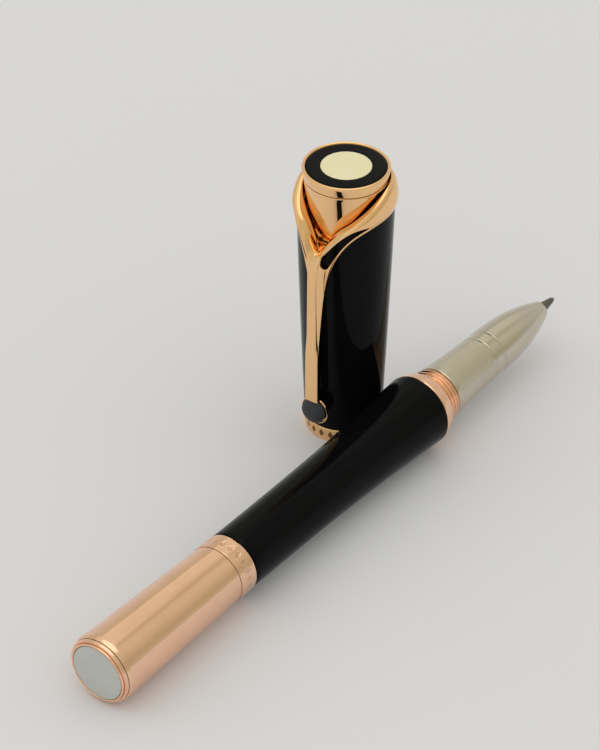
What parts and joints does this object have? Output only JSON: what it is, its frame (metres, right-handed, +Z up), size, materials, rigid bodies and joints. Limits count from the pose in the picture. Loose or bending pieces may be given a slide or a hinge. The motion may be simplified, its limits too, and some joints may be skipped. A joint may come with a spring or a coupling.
{
  "type": "rollerball pen",
  "caption": "Slim flared rollerball pen lying beside its screw cap, with a spring-loaded refill, unscrewing grip section and a collar clip ending in a stone.",
  "frame": {"origin": "centre of the bounding box's underside: the table top midway along the pen, between the lying pen and the standing cap", "axes": "+Z up from the table, +X along the pen towards its writing tip, +Y from the pen to the cap"},
  "size_m": [0.124, 0.0285, 0.0521],
  "materials": {
    "rose_gold": "rose-gold plate on brass, polished",
    "yellow_gold": "warm gold plate on brass, mirror polished",
    "champagne": "champagne plate on brass, finely engine-turned",
    "raw_brass": "bare turned brass",
    "spring_steel": "plain steel",
    "refill_metal": "satin refill tube",
    "tip_steel": "dark turned steel",
    "ball_carbide": "polished hard-metal ball",
    "black_resin": "black resin, mirror gloss",
    "pale_disc": "pale grey disc, glossy",
    "cream_inlay": "cream inlay, satin",
    "dark_stone": "dark grey polished stone",
    "black_plastic": "moulded black plastic",
    "white_plastic": "moulded white plastic",
    "ink_fibre": "ink-soaked fibre",
    "rubber": "black rubber"
  },
  "bodies": {
    "barrel": {"end_disc": "pale_disc", "end_bezel": "rose_gold", "rear_sleeve": "rose_gold", "rear_ring": "rose_gold", "barrel_shell": "black_resin", "barrel_liner": "raw_brass", "rear_plug": "raw_brass", "front_ring": "rose_gold", "barrel_bush": "rose_gold", "refill_spring": "spring_steel"},
    "section_carrier": {"section_oring": "rubber"},
    "section": {"grip_section": "champagne", "nose_cone": "champagne", "section_tail": "raw_brass"},
    "refill": {"refill_tail": "black_plastic", "refill_tube": "refill_metal", "ink_fibre": "ink_fibre", "refill_neck": "white_plastic", "refill_point": "tip_steel"},
    "ball": {"writing_ball": "ball_carbide"},
    "cap": {"cap_rim_ring": "yellow_gold", "cap_shell": "black_resin", "cap_thread_bush": "raw_brass", "cap_liner": "raw_brass", "inner_cap": "black_plastic", "head_plate": "raw_brass", "head_stud": "spring_steel", "cap_cone": "yellow_gold", "cap_top_bezel": "yellow_gold", "cap_top_disc": "black_resin", "cap_top_inlay": "cream_inlay", "cap_collar": "yellow_gold"},
    "clip": {"clip_blade": "yellow_gold", "clip_stone": "dark_stone", "stone_setting": "yellow_gold"}
  },
  "joints": [
    {"name": "cap_lift", "type": "slide", "parent": "barrel", "child": "cap", "axis": [0, 0, 1], "range_m": [0, 0.09]},
    {"name": "clip_flex", "type": "hinge", "parent": "cap", "child": "clip", "pos_m": [0.00931, 0.00508, 0.0384], "axis": [-0.0488, 0.9988, 0], "range_deg": [0, 3.5], "stiffness_Nm_per_rad": 0.35},
    {"name": "section_travel", "type": "slide", "parent": "barrel", "child": "section_carrier", "axis": [1, 0, 0.0068], "range_m": [0, 0.00375]},
    {"name": "section_turn", "type": "hinge", "parent": "section_carrier", "child": "section", "pos_m": [0.028, -0.00779, 0.00652], "axis": [1, 0, 0.0068], "range_deg": [0, 1800]},
    {"name": "refill_push", "type": "slide", "parent": "section_carrier", "child": "refill", "axis": [1, 0, 0.0068], "range_m": [-0.001, 0], "stiffness_N_per_m": 700, "springref_m": 0.001, "deforming": ["refill_spring"]},
    {"name": "ball_roll", "type": "hinge", "parent": "refill", "child": "ball", "pos_m": [0.06165, -0.00779, 0.00674], "axis": [0, 1, 0], "continuous": true}
  ],
  "couplings": [
    {"joint": "section_travel", "follows": "section_turn", "m_per_rad": 0.00011937}
  ]
}
